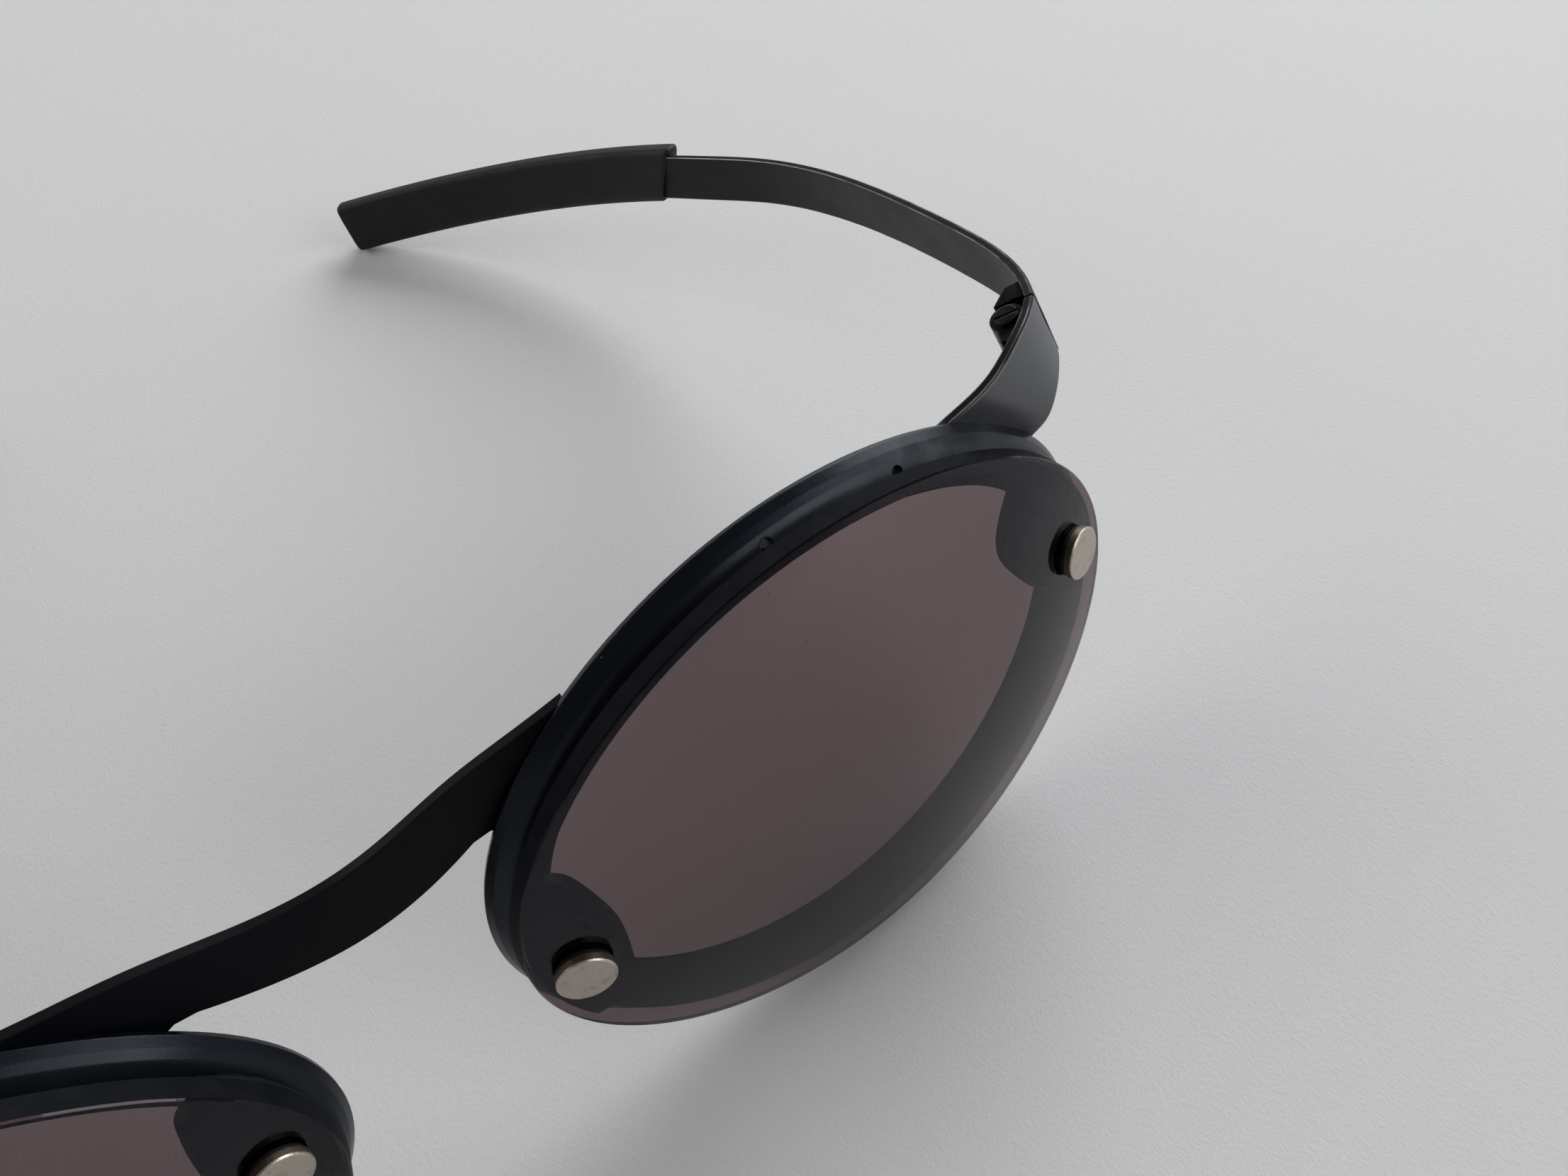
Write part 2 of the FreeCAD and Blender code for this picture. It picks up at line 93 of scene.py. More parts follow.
class SunglassesColours(bpy.types.PropertyGroup):
    """Colours of the finishes."""

    rim: bpy.props.FloatVectorProperty(
        name="Rim", description="Satin black of the rims",
        subtype="COLOR", size=3, default=(0.0018, 0.0024, 0.0046), min=0, max=1)
    band: bpy.props.FloatVectorProperty(
        name="Band", description="Flat black of the bridge band",
        subtype="COLOR", size=3, default=(0.0012, 0.0015, 0.0026), min=0, max=1)
    # Grey of the dust and painted sheen on the upper outer part of the rims.
    rim_dust_and_sheen: bpy.props.FloatVectorProperty(
        name="Rim dust", description="Grey film on the upper outer part of the rims",
        subtype="COLOR", size=3, default=(0.12, 0.13, 0.14), min=0, max=1)
    strip: bpy.props.FloatVectorProperty(
        name="Strip", description="Gunmetal of the end pieces and temples",
        subtype="COLOR", size=3, default=(0.0130, 0.0137, 0.0155), min=0, max=1)
    strip_edge: bpy.props.FloatVectorProperty(
        name="Strip edge", description="Metal that shows through on worn edges",
        subtype="COLOR", size=3, default=(0.72, 0.72, 0.73), min=0, max=1)
    lens: bpy.props.FloatVectorProperty(
        name="Lens tint", description="Share of light let through by a millimetre of lens",
        subtype="COLOR", size=3, default=(0.434, 0.367, 0.369), min=0.001, max=1)
    stud: bpy.props.FloatVectorProperty(
        name="Stud", description="Steel of the lens screws",
        subtype="COLOR", size=3, default=(0.50, 0.44, 0.385), min=0, max=1)
    tarnish: bpy.props.FloatVectorProperty(
        name="Tarnish", description="Brown tarnish in the low spots of the screws",
        subtype="COLOR", size=3, default=(0.10, 0.075, 0.05), min=0, max=1)
    rubber: bpy.props.FloatVectorProperty(
        name="Rubber", description="Soft black of tips and collars",
        subtype="COLOR", size=3, default=(0.0105, 0.0112, 0.0125), min=0, max=1)
    hinge: bpy.props.FloatVectorProperty(
        name="Hinge", description="Blackened steel of the hinges",
        subtype="COLOR", size=3, default=(0.0045, 0.0052, 0.0055), min=0, max=1)
    paper: bpy.props.FloatVectorProperty(
        name="Paper", description="White paper that the sunglasses stand on",
        subtype="COLOR", size=3, default=(0.61, 0.606, 0.608), min=0, max=1)


class SunglassesSizes(bpy.types.PropertyGroup):
    """Sizes of the pieces made here and of the studio."""

    tip_thickness: bpy.props.FloatProperty(
        name="Tip thickness", description="Thickness of the soft tips",
        subtype="DISTANCE", unit="LENGTH", default=0.0029, min=0.001)
    tip_height: bpy.props.FloatProperty(
        name="Tip height", description="Height of the soft tips across their length",
        subtype="DISTANCE", unit="LENGTH", default=0.0071, min=0.002)
    tip_slant: bpy.props.FloatProperty(
        name="Tip slant", description="How far the end at the strip is cut back below",
        subtype="DISTANCE", unit="LENGTH", default=0.004, min=0)
    tip_edge: bpy.props.FloatProperty(
        name="Tip edge", description="Radius of the rounded edge round both ends",
        subtype="DISTANCE", unit="LENGTH", default=0.00045, min=0.0001)
    tip_rows: bpy.props.IntProperty(
        name="Tip rows", description="Sections along a tip", default=72, min=8)
    tip_columns: bpy.props.IntProperty(
        name="Tip columns", description="Points round a section", default=72, min=16)
    floor_reach: bpy.props.FloatProperty(
        name="Floor reach", description="Radius of the flat part of the paper",
        subtype="DISTANCE", unit="LENGTH", default=1.5, min=0.3)
    floor_curl: bpy.props.FloatProperty(
        name="Floor curl", description="Radius of the bend where the paper turns up",
        subtype="DISTANCE", unit="LENGTH", default=0.4, min=0.05)
    key_power: bpy.props.FloatProperty(
        name="Window light", description="Power of the large soft lamp behind on the right",
        subtype="POWER", default=19.0, min=0)
    fill_power: bpy.props.FloatProperty(
        name="Sky light", description="Strength of the even light from all round",
        default=0.135, min=0, max=4)


# ---------------------------------------------------------------- shader expressions

class Value:
    """A shader socket. Arithmetic on it adds Math nodes to its tree."""

    def __init__(self, finish, socket):
        self.finish = finish
        self.socket = socket

    def math(self, operation, *values):
        """Math node of the operation on these values."""
        return self.finish.node("ShaderNodeMath", {"operation": operation}, dict(enumerate(values)))

    def __add__(self, other):
        return self.math("ADD", self, other)

    def __sub__(self, other):
        return self.math("SUBTRACT", self, other)

    def __rsub__(self, other):
        return self.math("SUBTRACT", other, self)

    def __mul__(self, other):
        return self.math("MULTIPLY", self, other)

    def __truediv__(self, other):
        return self.math("DIVIDE", self, other)

    def __pow__(self, other):
        return self.math("POWER", self, other)

    __radd__ = __add__
    __rmul__ = __mul__

    def larger(self, other):
        return self.math("MAXIMUM", self, other)

    def smaller(self, other):
        return self.math("MINIMUM", self, other)

    def between(self, low, high, start=0.0, end=1.0):
        """Runs smoothly from start to end as the value goes from low to high."""
        return self.finish.node(
            "ShaderNodeMapRange", {"interpolation_type": "SMOOTHSTEP"},
            {"Value": self, "From Min": low, "From Max": high, "To Min": start, "To Max": end})


class Finish:
    """A node material while it is being put together."""

    def __init__(self, name):
        self.material = bpy.data.materials.new(name)
        self.material.use_nodes = True
        self.tree = self.material.node_tree
        self.tree.nodes.clear()

    def node(self, kind, settings=None, inputs=None, output=0):
        """Adds a node: its settings first, then its sockets by name or number."""
        made = self.tree.nodes.new(kind)
        for key, value in (settings or {}).items():
            setattr(made, key, value)
        for key, value in (inputs or {}).items():
            if isinstance(value, Value):
                self.tree.links.new(value.socket, made.inputs[key])
            else:
                made.inputs[key].default_value = value
        return Value(self, made.outputs[output]) if len(made.outputs) else None

    def place(self):
        """Object coordinates."""
        return self.node("ShaderNodeTexCoord", output="Object")

    def stretched(self, scale, turn):
        """Object coordinates scaled and turned, for a pattern with a direction."""
        return self.node(
            "ShaderNodeMapping", {},
            {"Vector": self.place(), "Rotation": turn, "Scale": scale})

    def noise(self, size, detail, rough=0.55, vector=None):
        """Noise whose blotches are about size metres across, from 0 to 1."""
        return self.node(
            "ShaderNodeTexNoise", {},
            {"Vector": vector or self.place(), "Scale": 1 / size, "Detail": detail,
             "Roughness": rough})

    def specks(self, spacing, radius):
        """Round specks of the given radius, one to each cell of about the given spacing."""
        away = self.node(
            "ShaderNodeTexVoronoi", {"feature": "F1"},
            {"Vector": self.place(), "Scale": 1 / spacing}, "Distance")
        return away.between(radius / spacing, 0.6 * radius / spacing)

    def mix(self, factor, first, second):
        """Colour that goes from first to second as factor goes from 0 to 1."""
        first, second = (c if isinstance(c, Value) else (*c, 1) for c in (first, second))
        return self.node(
            "ShaderNodeMix", {"data_type": "RGBA"}, {0: factor, 6: first, 7: second}, 2)

    def surface_mix(self, factor, first, second):
        """Surface that goes from first to second as factor goes from 0 to 1."""
        return self.node("ShaderNodeMixShader", {}, {0: factor, 1: first, 2: second})

    def rounding(self, radius):
        """Normal as if the piece's edges were rounded by radius."""
        return self.node("ShaderNodeBevel", {"samples": 4}, {"Radius": radius})

    def edges(self, radius):
        """1 on edges, 0 on flats, from how far the rounded normal leans from the true one."""
        true = self.node("ShaderNodeNewGeometry", output="Normal")
        dot = self.node(
            "ShaderNodeVectorMath", {"operation": "DOT_PRODUCT"},
            {0: self.rounding(radius), 1: true}, "Value")
        return dot.between(EDGE_START, EDGE_FULL)

    def parts(self, vector):
        """The three parts of a vector."""
        return [self.node("ShaderNodeSeparateXYZ", {}, {0: vector}, i) for i in range(3)]

    def mirrored(self):
        """Place and normal, each as three parts, with the right side folded over onto the left."""
        x, y, z = self.parts(self.place())
        side, depth, height = self.parts(self.node("ShaderNodeTexCoord", output="Normal"))
        return (x.math("ABSOLUTE", x), y, z), (side * x.math("SIGN", x), depth, height)

    def leaning(self, axis):
        """How squarely the surface faces along the axis, forwards or backwards, from 0 to 1."""
        normal = self.mirrored()[1]
        facing = normal[0] * axis[0] + normal[1] * axis[1] + normal[2] * axis[2]
        return facing.math("ABSOLUTE", facing)

    def facing(self, point):
        """How squarely the surface faces a point of the left side, from -1 to 1."""
        place, normal = self.mirrored()
        x, y, z = (goal - part for goal, part in zip(point, place))
        return (normal[0] * x + normal[1] * y + normal[2] * z) / (x * x + y * y + z * z) ** 0.5

    def bump(self, height, distance, normal=None):
        """Normal of a relief on another normal: a height of 1 stands distance metres proud."""
        inputs = {"Height": height, "Distance": distance, "Strength": 1.0}
        if normal is not None:
            inputs["Normal"] = normal
        return self.node("ShaderNodeBump", {}, inputs)

    def principled(self, **inputs):
        """Principled surface, its sockets named with _ for a space."""
        named = {key.replace("_", " "): value for key, value in inputs.items()}
        for key, value in named.items():
            if isinstance(value, tuple) and len(value) == 3:
                named[key] = (*value, 1)
        return self.node("ShaderNodeBsdfPrincipled", {}, named)

    def finished(self, surface, body=None):
        """The material, once its surface and what fills its body are joined to the output."""
        inputs = {"Surface": surface}
        if body is not None:
            inputs["Volume"] = body
        self.node("ShaderNodeOutputMaterial", {"is_active_output": True}, inputs)
        return self.material


def dress(material, *nodes):
    """Gives CAD nodes a finish."""
    for name in nodes:
        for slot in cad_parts[name].material_slots:
            slot.material = material


def both(stem):
    """Names of the left and the right node of a pair."""
    return [stem + "_" + side for side in SIDES]


# ---------------------------------------------------------------- finishes

def satin_black(colours):
    """Rims: satin lacquer, with dust and a painted sheen at the upper outer corner, flat black on the
    inner wall.
    """
    f = Finish("satin_black_lacquer")
    low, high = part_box("rim_left")
    x, _, z = f.parts(f.place())
    upper = z.between(*(low.z + share * (high.z - low.z) for share in DUST_AND_SHEEN_UP))
    outer = x.math("ABSOLUTE", x).between(*(low.x + share * (high.x - low.x) for share in DUST_AND_SHEEN_ACROSS))
    cloud = f.noise(0.0035, 5).between(0.36, 0.68)
    # Dust and painted sheen: the upper outer part of the rim is made lighter grey, partly dust and
    # partly a painted sheen.
    dust_and_sheen = upper * outer * (0.35 + 0.65 * cloud)
    lint = f.specks(0.0042, 0.00011) * 0.5
    wear = f.edges(0.00012) * f.noise(0.0012, 3).between(0.42, 0.70)
    base = f.mix(dust_and_sheen * 0.55, tuple(colours.rim), tuple(colours.rim_dust_and_sheen))
    base = f.mix((wear * 0.35 + lint).smaller(1.0), base, (0.16, 0.17, 0.18))
    smear = f.noise(0.009, 4).between(0.3, 0.75, 0.24, 0.36)
    grain = f.noise(0.00022, 2) + dust_and_sheen * f.noise(0.0006, 4) * 2.0
    outside = f.principled(
        Base_Color=base, Roughness=smear + dust_and_sheen * 0.28, Specular_IOR_Level=0.26,
        Specular_Tint=(0.76, 0.88, 1.0), Normal=f.bump(grain, 0.000008, f.rounding(0.00018)))
    dull = f.mix(cloud, (0.0020, 0.0024, 0.0034), (0.0034, 0.0038, 0.0050))
    flat = f.principled(Base_Color=dull, Roughness=0.9, Specular_IOR_Level=0.0)
    low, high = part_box("lens_left")
    inner = f.facing((low + high) / 2).between(0.25, 0.55)
    return f.finished(f.surface_mix(inner, outside, flat))


def band_black(colours):
    """Bridge band: flat black lacquer, rubbed smoother along its edges."""
    f = Finish("flat_black_lacquer")
    cloud = f.noise(0.006, 4)
    wear = f.edges(0.00012) * f.noise(0.0015, 3).between(0.45, 0.70)
    lint = f.specks(0.006, 0.00010) * 0.4
    base = f.mix(cloud.between(0.3, 0.8, 0.0, 0.35), tuple(colours.band), (0.0030, 0.0034, 0.0050))
    base = f.mix((wear * 0.12 + lint).smaller(1.0), base, (0.08, 0.08, 0.09))
    normal = f.bump(f.noise(0.00018, 2), 0.000008, f.rounding(0.00018))
    return f.finished(f.principled(
        Base_Color=base, Roughness=cloud.between(0.3, 0.75, 0.42, 0.55), Normal=normal,
        Specular_IOR_Level=0.09))


def gunmetal(colours, name, tone, rough, sheen):
    """Strips: grey on the broad faces, a painted shade of near black on the narrow top and bottom
    faces, bare metal along the edges.

    The tone scales the strip's colour as painted light: high for a lit copy, low for a shaded copy.
    Rough is the smallest roughness and sheen the specular level.
    """
    f = Finish(name)
    cloud = f.noise(0.007, 4)
    wear = f.edges(0.00020) * f.noise(0.0060, 4).between(0.30, 0.56)
    slanting = f.stretched((700, 2600, 260), (0.4, 0.2, 0.9))
    scuff = f.noise(1.0, 3, 0.6, slanting).between(0.70, 0.76)
    lint = f.specks(0.005, 0.00009) * 0.35
    dark, light = (tuple(part * share for share in colours.strip) for part in (tone, 1.35 * tone))
    base = f.mix(cloud.between(0.3, 0.75), dark, light)
    bare = (wear * 0.9 + scuff * 0.06 + lint).smaller(1.0)
    base = f.mix(bare, base, tuple(colours.strip_edge))
    broad = f.principled(
        Base_Color=base, Metallic=wear * 0.9, Specular_IOR_Level=sheen,
        Roughness=cloud.between(0.3, 0.75, rough, rough + 0.08) - wear * 0.12,
        Normal=f.bump(f.noise(0.00016, 2), 0.000006, f.rounding(0.00020)))
    # Painted shade: the narrow top and bottom faces get a near black, low-sheen copy of the strip in
    # place of its grey.
    dull = f.mix(cloud, (0.0030, 0.0028, 0.0028), (0.0060, 0.0058, 0.0058))
    flat = f.principled(Base_Color=dull, Roughness=0.6, Specular_IOR_Level=0.14)
    shaded_narrow = f.leaning(UPRIGHT).between(0.52, 0.66) * (1 - wear)
    return f.finished(f.surface_mix(shaded_narrow, broad, flat))


def tinted_lens(colours):
    """Brown grey lens plate: plastic that dims light by its thickness, its sawn edge painted near
    black as shade.
    """
    f = Finish("brown_grey_lens")
    dust = f.specks(0.0085, 0.00009)
    streak = f.noise(1.0, 2, 0.5, f.stretched((2600, 2600, 140), (0.3, 0.5, 0.2)))
    scratch = streak.between(0.700, 0.735) * f.noise(0.006, 2).between(0.55, 0.7) * 0.3
    sawn_and_shaded = f.leaning(LENS_AXIS).between(0.60, 0.35)
    plastic = f.principled(
        Base_Color=(1.0, 1.0, 1.0), Roughness=sawn_and_shaded * 0.5, IOR=1.36, Transmission_Weight=1.0,
        Specular_Tint=(0.86, 0.85, 1.0))
    speck_grey = f.mix(dust, (0.30, 0.30, 0.29), (0.55, 0.55, 0.52))
    speck = f.principled(Base_Color=speck_grey, Roughness=0.6)
    seen = f.surface_mix((dust * 0.8 + scratch).smaller(1.0), plastic, speck)
    patches = f.noise(0.002, 4).between(0.4, 0.7)
    # Painted shade: the outward side of the sawn edge wall is painted near black for the light lost
    # inside the lens.
    black = f.mix(patches, (0.0040, 0.0048, 0.0064), (0.0066, 0.0074, 0.0092))
    edge = f.principled(Base_Color=black, Roughness=0.7, Specular_IOR_Level=0.05)
    inside = f.node("ShaderNodeNewGeometry", output="Backfacing")
    seen = f.surface_mix(sawn_and_shaded * (1 - inside), seen, edge)
    clear = f.node("ShaderNodeBsdfTransparent", {}, {"Color": (0.92, 0.92, 0.92, 1)})
    shadow = f.node("ShaderNodeLightPath", output="Is Shadow Ray")
    diffuse = f.node("ShaderNodeLightPath", output="Is Diffuse Ray")
    surface = f.surface_mix(shadow.larger(diffuse), seen, clear)
    loss = [-math.log(part) / MM for part in colours.lens]
    tint = tuple(1 - part / max(loss) for part in loss)
    body = f.node(
        "ShaderNodeVolumeAbsorption", {}, {"Color": (*tint, 1), "Density": max(loss)})
    return f.finished(surface, body)


def worn_steel(colours):
    """Lens screws, washers and nuts: fine brushed steel, tarnished brown in its low spots and brown on
    the side walls of the heads.
    """
    f = Finish("worn_steel")
    brushed = f.noise(1.0, 2, 0.5, f.stretched((9000, 900, 2600), (0.2, 0.3, 0.7)))
    blotch = f.noise(0.0009, 5).between(0.52, 0.72)
    pit = f.specks(0.0009, 0.00006)
    edge = f.edges(0.00012)
    # The side walls of the heads take the brown colour too, so they are darker than the faces.
    side = f.leaning(LENS_AXIS).between(0.55, 0.30)
    browned = (blotch * 0.30 + pit * 0.5).smaller(1.0).larger(side * 0.85) * (1 - edge * 0.8)
    base = f.mix(browned, tuple(colours.stud), tuple(colours.tarnish))
    base = f.mix(edge * 0.6, base, (0.80, 0.75, 0.68))
    normal = f.bump(brushed + pit * -1.5, 0.000008, f.rounding(0.00014))
    rough = brushed.between(0.3, 0.7, 0.24, 0.40) + browned * 0.2
    return f.finished(f.principled(Base_Color=base, Metallic=1.0, Roughness=rough, Normal=normal))


def black_steel(colours):
    """Hinges: blackened steel, polished where the knuckles rub."""
    f = Finish("black_hinge_steel")
    cloud = f.noise(0.0022, 4)
    wear = f.edges(0.00018) * f.noise(0.0009, 3).between(0.38, 0.62)
    base = f.mix(cloud.between(0.4, 0.75, 0.0, 0.5), tuple(colours.hinge), (0.013, 0.015, 0.015))
    base = f.mix(wear * 0.35, base, (0.30, 0.29, 0.27))
    normal = f.bump(f.noise(0.0002, 3), 0.000008, f.rounding(0.0002))
    rough = cloud.between(0.3, 0.7, 0.22, 0.38)
    return f.finished(f.principled(Base_Color=base, Metallic=0.6, Roughness=rough, Normal=normal))


def soft_black(colours, name, pebble_size):
    """Tips and collars: soft matte black rubber with a fine pebble and rubbed edges."""
    f = Finish(name)
    pebble = f.node(
        "ShaderNodeTexVoronoi", {"feature": "SMOOTH_F1"},
        {"Vector": f.place(), "Scale": 1 / pebble_size}, "Distance")
    cloud = f.noise(0.006, 4)
    rub = f.edges(0.0003) * f.noise(0.003, 3).between(0.4, 0.7)
    base = f.mix(cloud.between(0.3, 0.8, 0.0, 0.5), tuple(colours.rubber), (0.011, 0.0115, 0.012))
    base = f.mix(rub * 0.15, base, (0.035, 0.036, 0.038))
    normal = f.bump(pebble + f.noise(0.0008, 3) * 1.5, 0.000014, f.rounding(0.00025))
    return f.finished(f.principled(
        Base_Color=base, Roughness=cloud.between(0.3, 0.75, 0.50, 0.64), Specular_IOR_Level=0.25,
        Normal=normal))


def paper_white(colours):
    """White paper: short fibres lying every way, a faint cloudiness and a few dark specks."""
    f = Finish("white_paper")
    fibre = f.noise(0.00055, 5, 0.66)
    for turn in (0.2, 1.1, 1.9, 2.7):
        lying = f.stretched((5200, 1900, 2400), (0, 0, turn))
        fibre = fibre + f.noise(1.0, 2, 0.5, lying) * 0.3
    tone = f.noise(0.03, 3).between(0.3, 0.7)
    base = f.mix(tone * 0.25, tuple(colours.paper), tuple(0.965 * c for c in colours.paper))
    base = f.mix(f.specks(0.019, 0.00011), base, (0.25, 0.24, 0.22))
    normal = f.bump(fibre, 0.000052)
    return f.finished(f.principled(Base_Color=base, Roughness=0.85, Normal=normal))


# ---------------------------------------------------------------- surfaces

def ring_quads(rows, columns):
    """Quads between the rows of a grid whose columns close on themselves, facing out of the tube."""
    index = np.arange(rows * columns).reshape(rows, columns)
    after = np.roll(index, -1, axis=1)
    return np.stack((index[:-1], after[:-1], after[1:], index[1:]), axis=-1).reshape(-1, 4)


def add_mesh(name, points, faces, material):
    """Smooth piece from points, shape (rows, columns, 3), and faces."""
    mesh = bpy.data.meshes.new(name)
    mesh.from_pydata(points.reshape(-1, 3).tolist(), [], faces)
    mesh.materials.append(material)
    mesh.shade_smooth()
    made = bpy.data.objects.new(name, mesh)
    bpy.context.scene.collection.objects.link(made)
    return made


def rounded_section(columns, power):
    """Points round a superellipse: |across|^power + |up|^power = 1, at even angles."""
    angle = np.arange(columns) * (2 * np.pi / columns)
    across, up = np.cos(angle), np.sin(angle)
    reach = (np.abs(across) ** power + np.abs(up) ** power) ** (-1 / power)
    return across * reach, up * reach


def tip_points(sizes):
    """Left tip: a superellipse swept along a curve through three points of the CAD tip's box.

    The curve is P = (1-t)^2 A + 2 t (1-t) B + t^2 C, from the metal strip to the tail. The last
    stretch of both ends follows a quarter circle, so their edges are rounded. The slant draws the
    lower edge of the end at the strip back along the tip.
    """
    low, high = (np.array(corner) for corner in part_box("temple_tip_left"))
    start, pull, end = (low + (high - low) * np.array(share) for share in TIP_CURVE)
    length = np.linalg.norm(pull - start) + np.linalg.norm(end - pull)
    turn = np.linspace(0, np.pi / 2, EDGE_ROWS + 1)[:-1]
    drawn = sizes.tip_edge * (1 - np.sin(turn))
    near = sizes.tip_edge * (1 - np.cos(turn)) / length
    middle = np.linspace(sizes.tip_edge / length, 1 - sizes.tip_edge / length, sizes.tip_rows)
    t = np.concatenate((near, middle, 1 - near[::-1]))[:, None]
    inset = np.concatenate((drawn, np.zeros(len(middle)), drawn[::-1]))[:, None, None]
    centre = (1 - t) ** 2 * start + 2 * t * (1 - t) * pull + t ** 2 * end
    along = (1 - t) * (pull - start) + t * (end - pull)
    along /= np.linalg.norm(along, axis=1, keepdims=True)
    side = np.cross(along, np.array(UPRIGHT))
    side /= np.linalg.norm(side, axis=1, keepdims=True)
    up = np.cross(side, along)
    section = rounded_section(sizes.tip_columns, TIP_SQUARENESS)
    across, height = (part[None, :, None] for part in section)
    slant = sizes.tip_slant * (1 - t[:, None]) ** 6 * (0.5 - 0.5 * height)
    return (
        centre[:, None] + side[:, None] * across * (sizes.tip_thickness / 2 - inset)
        + up[:, None] * height * (sizes.tip_height / 2 - inset) + along[:, None] * slant)


def paper_points(reach, curl, columns=128, bends=16):
    """Sheet turned round z: flat to the reach, a quarter circle of the curl, a straight wall."""
    bend = np.linspace(0, np.pi / 2, bends)
    radius = np.concatenate((PAPER_RINGS, reach + curl * np.sin(bend), [reach + curl]))
    height = np.concatenate((
        np.zeros(len(PAPER_RINGS)), curl * (1 - np.cos(bend)), [PAPER_WALL * curl]))
    angle = np.arange(columns) * (2 * np.pi / columns)
    return np.stack((
        radius[:, None] * np.cos(angle), radius[:, None] * np.sin(angle),
        np.repeat(height[:, None], columns, axis=1)), axis=-1)


# ---------------------------------------------------------------- operators

class SUNGLASSES_OT_rims(bpy.types.Operator):
    """Lacquer on both rims"""

    bl_idname = "sunglasses.rims"
    bl_label = "Rims"

    def execute(self, context):
        dress(satin_black(context.scene.sunglasses_colours), *both("rim"))
        return {"FINISHED"}


class SUNGLASSES_OT_bridge(bpy.types.Operator):
    """Lacquer on the bridge band"""

    bl_idname = "sunglasses.bridge"
    bl_label = "Bridge band"

    def execute(self, context):
        dress(band_black(context.scene.sunglasses_colours), "bridge_band")
        return {"FINISHED"}


class SUNGLASSES_OT_strips(bpy.types.Operator):
    """Gunmetal finish on the end pieces and temples"""

    bl_idname = "sunglasses.strips"
    bl_label = "End pieces and temples"

    def execute(self, context):
        colours = context.scene.sunglasses_colours
        # End pieces and temples are one gunmetal: tone 3.6 on the end pieces is painted light, tone
        # 0.25 on the temples is painted shade.
        satin = gunmetal(colours, "gunmetal_satin_painted_light", tone=3.6, rough=0.36, sheen=0.70)
        matte = gunmetal(colours, "gunmetal_matte_painted_shade", tone=0.25, rough=0.46, sheen=0.26)
        dress(satin, *both("end_piece"))
        dress(matte, *both("temple"))
        return {"FINISHED"}


class SUNGLASSES_OT_lenses(bpy.types.Operator):
    """Tint and gloss of both lens plates"""

    bl_idname = "sunglasses.lenses"
    bl_label = "Lens plates"

    def execute(self, context):
        dress(tinted_lens(context.scene.sunglasses_colours), *both("lens"))
        return {"FINISHED"}


class SUNGLASSES_OT_studs(bpy.types.Operator):
    """Worn steel on the lens screws, washers and nuts, rubber on the collars"""

    bl_idname = "sunglasses.studs"
    bl_label = "Lens screws"

    def execute(self, context):
        colours = context.scene.sunglasses_colours
        dress(worn_steel(colours), "lens_studs", "stud_washers", "stud_nuts")
        dress(soft_black(colours, "black_collar", 0.00010), "stud_collars")
        return {"FINISHED"}


class SUNGLASSES_OT_hinges(bpy.types.Operator):
    """Blackened steel on the hinges and their screws"""

    bl_idname = "sunglasses.hinges"
    bl_label = "Hinges"

    def execute(self, context):
        dress(
            black_steel(context.scene.sunglasses_colours),
            *both("hinge_block"), *both("temple_knuckle"), "hinge_screws")
        return {"FINISHED"}


class SUNGLASSES_OT_tips(bpy.types.Operator):
    """Soft rubber on the temple tips"""

    bl_idname = "sunglasses.tips"
    bl_label = "Temple tips"

    def execute(self, context):
        material = soft_black(context.scene.sunglasses_colours, "soft_black_rubber", 0.00016)
        points = tip_points(context.scene.sunglasses_sizes)
        rows, columns = points.shape[:2]
        ends = [list(range(columns))[::-1], list(range((rows - 1) * columns, rows * columns))]
        faces = ring_quads(rows, columns).tolist() + ends
        for side, flip in zip(SIDES, (1, -1)):
            mirrored = (points * (flip, 1, 1))[:, ::flip]
            made = add_mesh("soft_tip_" + side, mirrored, faces, material)
            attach(made, "temple_%s_arm" % side)
            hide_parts("temple_tip_" + side)
        return {"FINISHED"}


def add_lamp(name, place, power, size, colour):
    """Area lamp at place, turned to the object."""
    lamp = bpy.data.lights.new(name, "AREA")
    lamp.energy = power
    lamp.color = colour
    lamp.shape = "RECTANGLE"
    lamp.size, lamp.size_y = size
    holder = bpy.data.objects.new(name, lamp)
    holder.location = place
    holder.rotation_euler = (-Vector(place)).to_track_quat("-Z", "Y").to_euler()
    holder.visible_camera = False
    bpy.context.scene.collection.objects.link(holder)


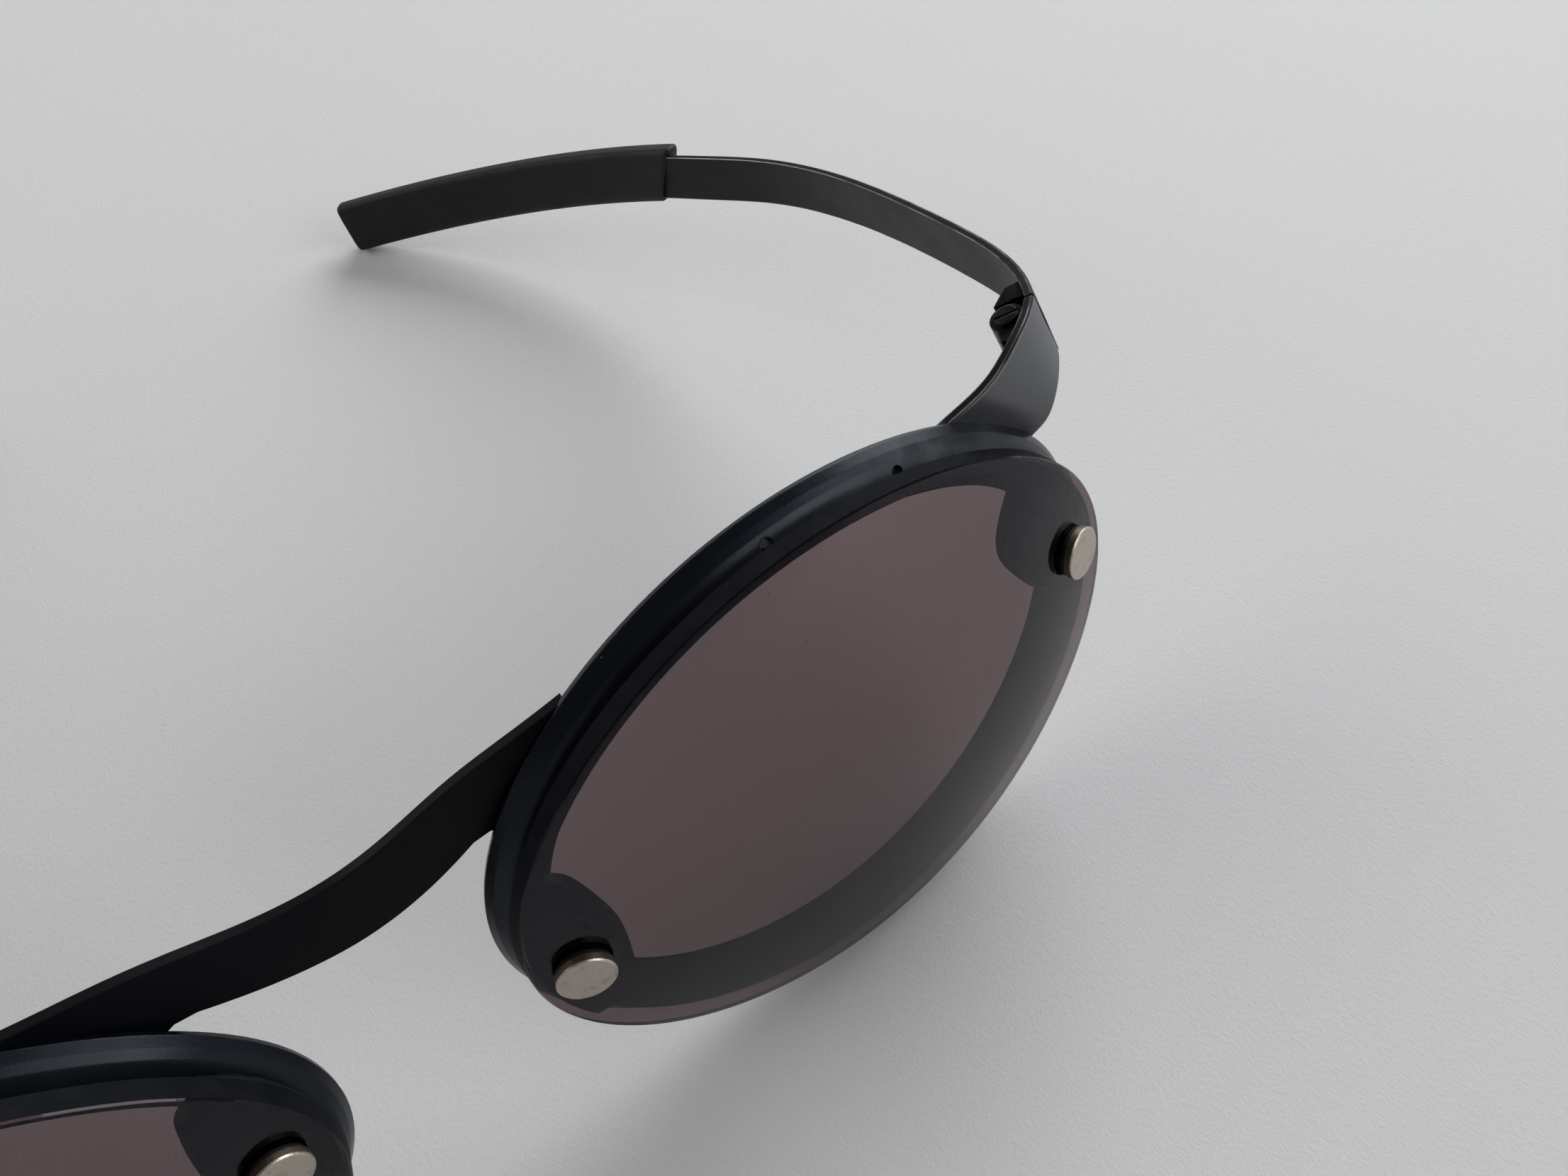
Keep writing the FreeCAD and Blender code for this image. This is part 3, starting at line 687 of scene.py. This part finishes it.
class SUNGLASSES_OT_studio(bpy.types.Operator):
    """Paper, lamps, world and camera"""

    bl_idname = "sunglasses.studio"
    bl_label = "Studio"

    def execute(self, context):
        scene = context.scene
        sizes, colours = scene.sunglasses_sizes, scene.sunglasses_colours
        points = paper_points(sizes.floor_reach, sizes.floor_curl)
        rows, columns = points.shape[:2]
        inward = ring_quads(rows, columns)[:, [0, 3, 2, 1]]
        upward = inward.tolist() + [list(range(columns))]
        paper = add_mesh("paper", points, upward, paper_white(colours))

        for name, place, share, size, colour in LAMPS:
            add_lamp(name, place, sizes.key_power * share, size, colour)

        world = bpy.data.worlds.new("room")
        world.use_nodes = True
        background = world.node_tree.nodes["Background"]
        background.inputs["Color"].default_value = (*SKY, 1)
        background.inputs["Strength"].default_value = sizes.fill_power
        scene.world = world
        scene.view_settings.view_transform = "Standard"

        camera = bpy.data.cameras.new("camera")
        camera.sensor_width = SENSOR_WIDTH
        camera.lens = FOCAL_LENGTH
        camera.clip_start = NEAREST
        right, up = Vector(CAMERA_RIGHT), Vector(CAMERA_UP)
        turn = Matrix((right, up, right.cross(up))).transposed().to_4x4()
        holder = bpy.data.objects.new("camera", camera)
        holder.matrix_world = Matrix.Translation(CAMERA_PLACE) @ turn
        scene.collection.objects.link(holder)
        scene.camera = holder
        return {"FINISHED"}


OPERATORS = (
    SUNGLASSES_OT_rims, SUNGLASSES_OT_bridge, SUNGLASSES_OT_strips, SUNGLASSES_OT_lenses,
    SUNGLASSES_OT_studs, SUNGLASSES_OT_hinges, SUNGLASSES_OT_tips, SUNGLASSES_OT_studio,
)


class SUNGLASSES_PT_panel(bpy.types.Panel):
    """Lists the pieces of the sunglasses"""

    bl_idname = "SUNGLASSES_PT_panel"
    bl_label = "Sunglasses"
    bl_space_type = "VIEW_3D"
    bl_region_type = "UI"
    bl_category = "Sunglasses"

    def draw(self, context):
        for group in (context.scene.sunglasses_colours, context.scene.sunglasses_sizes):
            for key in group.__annotations__:
                self.layout.prop(group, key)
        for operator in OPERATORS:
            self.layout.operator(operator.bl_idname)


CLASSES = (SunglassesColours, SunglassesSizes, *OPERATORS, SUNGLASSES_PT_panel)


def register():
    for cls in CLASSES:
        bpy.utils.register_class(cls)
    bpy.types.Scene.sunglasses_colours = bpy.props.PointerProperty(type=SunglassesColours)
    bpy.types.Scene.sunglasses_sizes = bpy.props.PointerProperty(type=SunglassesSizes)


def unregister():
    del bpy.types.Scene.sunglasses_sizes
    del bpy.types.Scene.sunglasses_colours
    for cls in reversed(CLASSES):
        bpy.utils.unregister_class(cls)


def main():
    register()
    for operator in OPERATORS:
        group, name = operator.bl_idname.split(".")
        if getattr(getattr(bpy.ops, group), name)() != {"FINISHED"}:
            raise RuntimeError(operator.bl_label + " was not finished")


if __name__ == "__main__":
    main()
